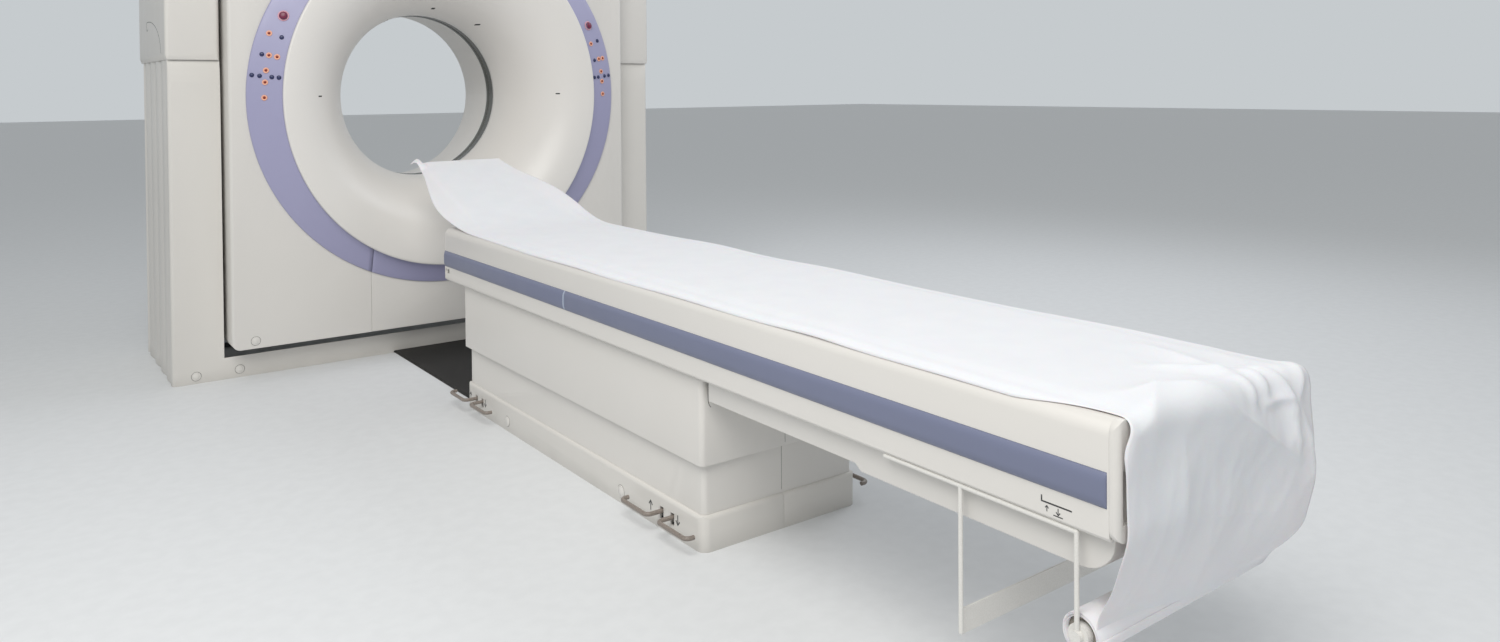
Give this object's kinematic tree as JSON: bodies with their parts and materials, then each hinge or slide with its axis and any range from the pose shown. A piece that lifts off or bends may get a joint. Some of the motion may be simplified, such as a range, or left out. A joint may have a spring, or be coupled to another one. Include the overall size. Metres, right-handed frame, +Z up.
{
  "type": "CT scanner",
  "caption": "Tilting ring scanner with a round bore, side towers, and a lifting table whose paper-covered top slides into the bore.",
  "frame": {"origin": "on the floor straight below the centre of the bore, at the middle of the gantry's four floor anchors", "axes": "+Z up, +Y from the table into the bore, +X to the right seen from the table"},
  "size_m": [2.026, 4.1235, 1.9],
  "materials": {
    "cover_ivory": "satin moulded cover",
    "ring_lavender": "satin coloured moulding",
    "stripe_blue": "matt bumper strip",
    "window_dark": "dark scan window",
    "duct_black": "matt black",
    "steel_painted": "painted steel",
    "steel_bright": "ground steel",
    "aluminium_cast": "cast aluminium",
    "copper_parts": "copper windings and rings",
    "key_red": "lit and dark keys",
    "stop_red": "stop button",
    "rod_white": "white lacquered rod",
    "pedal_metal": "grey brown lacquered rod",
    "carbon_top": "light composite",
    "pad_foam": "covered foam",
    "paper_white": "thin white paper"
  },
  "bodies": {
    "stand": {"stand_frame": "steel_painted", "trunnion_bearings": "steel_bright", "tilt_drive": "steel_painted", "stand_front_cover": "cover_ivory", "side_cover_left": "cover_ivory", "side_cover_right": "cover_ivory", "tower_cap_left": "cover_ivory", "tower_cap_right": "cover_ivory", "floor_duct_cover": "duct_black", "table_base_plate": "steel_painted", "table_plinth": "cover_ivory", "lift_column_outer": "steel_painted"},
    "tilt": {"tilt_frame": "aluminium_cast", "drive_stator": "copper_parts", "front_cover": "cover_ivory", "front_cover_lower": "cover_ivory", "ring_trim": "ring_lavender", "ring_trim_lower": "ring_lavender", "front_funnel": "cover_ivory", "scan_window": "window_dark", "bore_liner": "cover_ivory", "rear_cover": "cover_ivory", "middle_covers": "cover_ivory", "ring_keys_left": "key_red", "ring_keys_right": "key_red"},
    "stop_button_left": {"stop_left": "stop_red"},
    "stop_button_right": {"stop_right": "stop_red"},
    "rotor": {"rotor_drum": "aluminium_cast", "xray_tube": "aluminium_cast", "collimator": "aluminium_cast", "detector_arc": "aluminium_cast", "power_units": "steel_painted", "slip_ring": "copper_parts"},
    "cover_low": {"lift_cover_low": "cover_ivory"},
    "cover_high": {"lift_cover_high": "cover_ivory"},
    "stage_low": {"column_stage_low": "steel_bright"},
    "stage_high": {"column_stage_high": "steel_bright"},
    "lift": {"table_frame": "steel_painted", "upper_cover": "cover_ivory", "side_panel_left": "cover_ivory", "side_panel_right": "cover_ivory", "stripe_trims": "stripe_blue", "end_caps": "cover_ivory", "under_pan": "cover_ivory", "roll_holder": "rod_white", "paper_web": "paper_white"},
    "top": {"tabletop": "carbon_top", "table_pad": "pad_foam", "head_holder": "carbon_top", "head_cushion": "pad_foam", "paper_sheet": "paper_white"},
    "roll": {"paper_roll": "paper_white"},
    "pedal_head_left_up": {"pedal_head_left_up": "pedal_metal"},
    "pedal_head_left_down": {"pedal_head_left_down": "pedal_metal"},
    "pedal_head_right_up": {"pedal_head_right_up": "pedal_metal"},
    "pedal_head_right_down": {"pedal_head_right_down": "pedal_metal"},
    "pedal_foot_left_up": {"pedal_foot_left_up": "pedal_metal"},
    "pedal_foot_left_down": {"pedal_foot_left_down": "pedal_metal"},
    "pedal_foot_right_up": {"pedal_foot_right_up": "pedal_metal"},
    "pedal_foot_right_down": {"pedal_foot_right_down": "pedal_metal"}
  },
  "joints": [
    {"name": "gantry_tilt", "type": "hinge", "parent": "stand", "child": "tilt", "pos_m": [0, 0, 1.05], "axis": [1, 0, 0], "range_deg": [-8, 30]},
    {"name": "rotor_spin", "type": "hinge", "parent": "tilt", "child": "rotor", "pos_m": [0, 0, 1.05], "axis": [0, 1, 0], "continuous": true},
    {"name": "stop_left_press", "type": "slide", "parent": "tilt", "child": "stop_button_left", "axis": [0.2904, 0.9468, -0.1388], "range_m": [0, 0.004], "stiffness_N_per_m": 900, "springref_m": -0.002},
    {"name": "stop_right_press", "type": "slide", "parent": "tilt", "child": "stop_button_right", "axis": [-0.2904, 0.9468, -0.1388], "range_m": [0, 0.004], "stiffness_N_per_m": 900, "springref_m": -0.002},
    {"name": "table_lift", "type": "slide", "parent": "stand", "child": "lift", "axis": [0, 0, 1], "range_m": [0, 0.34]},
    {"name": "cover_low_rise", "type": "slide", "parent": "stand", "child": "cover_low", "axis": [0, 0, 1], "range_m": [0, 0.02992]},
    {"name": "cover_high_rise", "type": "slide", "parent": "stand", "child": "cover_high", "axis": [0, 0, 1], "range_m": [0, 0.1802]},
    {"name": "stage_low_rise", "type": "slide", "parent": "stand", "child": "stage_low", "axis": [0, 0, 1], "range_m": [0, 0.11333]},
    {"name": "stage_high_rise", "type": "slide", "parent": "stand", "child": "stage_high", "axis": [0, 0, 1], "range_m": [0, 0.22667]},
    {"name": "tabletop_slide", "type": "slide", "parent": "lift", "child": "top", "axis": [0, 1, 0], "range_m": [0, 0.25]},
    {"name": "roll_spin", "type": "hinge", "parent": "lift", "child": "roll", "pos_m": [0, -3.612, 0.25], "axis": [1, 0, 0], "continuous": true},
    {"name": "pedal_head_left_up_press", "type": "hinge", "parent": "stand", "child": "pedal_head_left_up", "pos_m": [-0.205, -1.254, 0.045], "axis": [0, 1, 0], "range_deg": [-8, 0], "stiffness_Nm_per_rad": 20, "springref_deg": 2.86},
    {"name": "pedal_head_left_down_press", "type": "hinge", "parent": "stand", "child": "pedal_head_left_down", "pos_m": [-0.205, -1.302, 0.045], "axis": [0, 1, 0], "range_deg": [-8, 0], "stiffness_Nm_per_rad": 20, "springref_deg": 2.86},
    {"name": "pedal_head_right_up_press", "type": "hinge", "parent": "stand", "child": "pedal_head_right_up", "pos_m": [0.205, -1.254, 0.045], "axis": [0, 1, 0], "range_deg": [0, 8], "stiffness_Nm_per_rad": 20, "springref_deg": -2.86},
    {"name": "pedal_head_right_down_press", "type": "hinge", "parent": "stand", "child": "pedal_head_right_down", "pos_m": [0.205, -1.302, 0.045], "axis": [0, 1, 0], "range_deg": [0, 8], "stiffness_Nm_per_rad": 20, "springref_deg": -2.86},
    {"name": "pedal_foot_left_up_press", "type": "hinge", "parent": "stand", "child": "pedal_foot_left_up", "pos_m": [-0.205, -2.413, 0.045], "axis": [0, 1, 0], "range_deg": [-8, 0], "stiffness_Nm_per_rad": 20, "springref_deg": 2.86},
    {"name": "pedal_foot_left_down_press", "type": "hinge", "parent": "stand", "child": "pedal_foot_left_down", "pos_m": [-0.205, -2.461, 0.045], "axis": [0, 1, 0], "range_deg": [-8, 0], "stiffness_Nm_per_rad": 20, "springref_deg": 2.86},
    {"name": "pedal_foot_right_up_press", "type": "hinge", "parent": "stand", "child": "pedal_foot_right_up", "pos_m": [0.205, -2.413, 0.045], "axis": [0, 1, 0], "range_deg": [0, 8], "stiffness_Nm_per_rad": 20, "springref_deg": -2.86},
    {"name": "pedal_foot_right_down_press", "type": "hinge", "parent": "stand", "child": "pedal_foot_right_down", "pos_m": [0.205, -2.461, 0.045], "axis": [0, 1, 0], "range_deg": [0, 8], "stiffness_Nm_per_rad": 20, "springref_deg": -2.86}
  ],
  "couplings": [
    {"joint": "cover_low_rise", "follows": "table_lift", "ratio": 0.088},
    {"joint": "cover_high_rise", "follows": "table_lift", "ratio": 0.53},
    {"joint": "stage_low_rise", "follows": "table_lift", "ratio": 0.33333},
    {"joint": "stage_high_rise", "follows": "table_lift", "ratio": 0.66667}
  ]
}
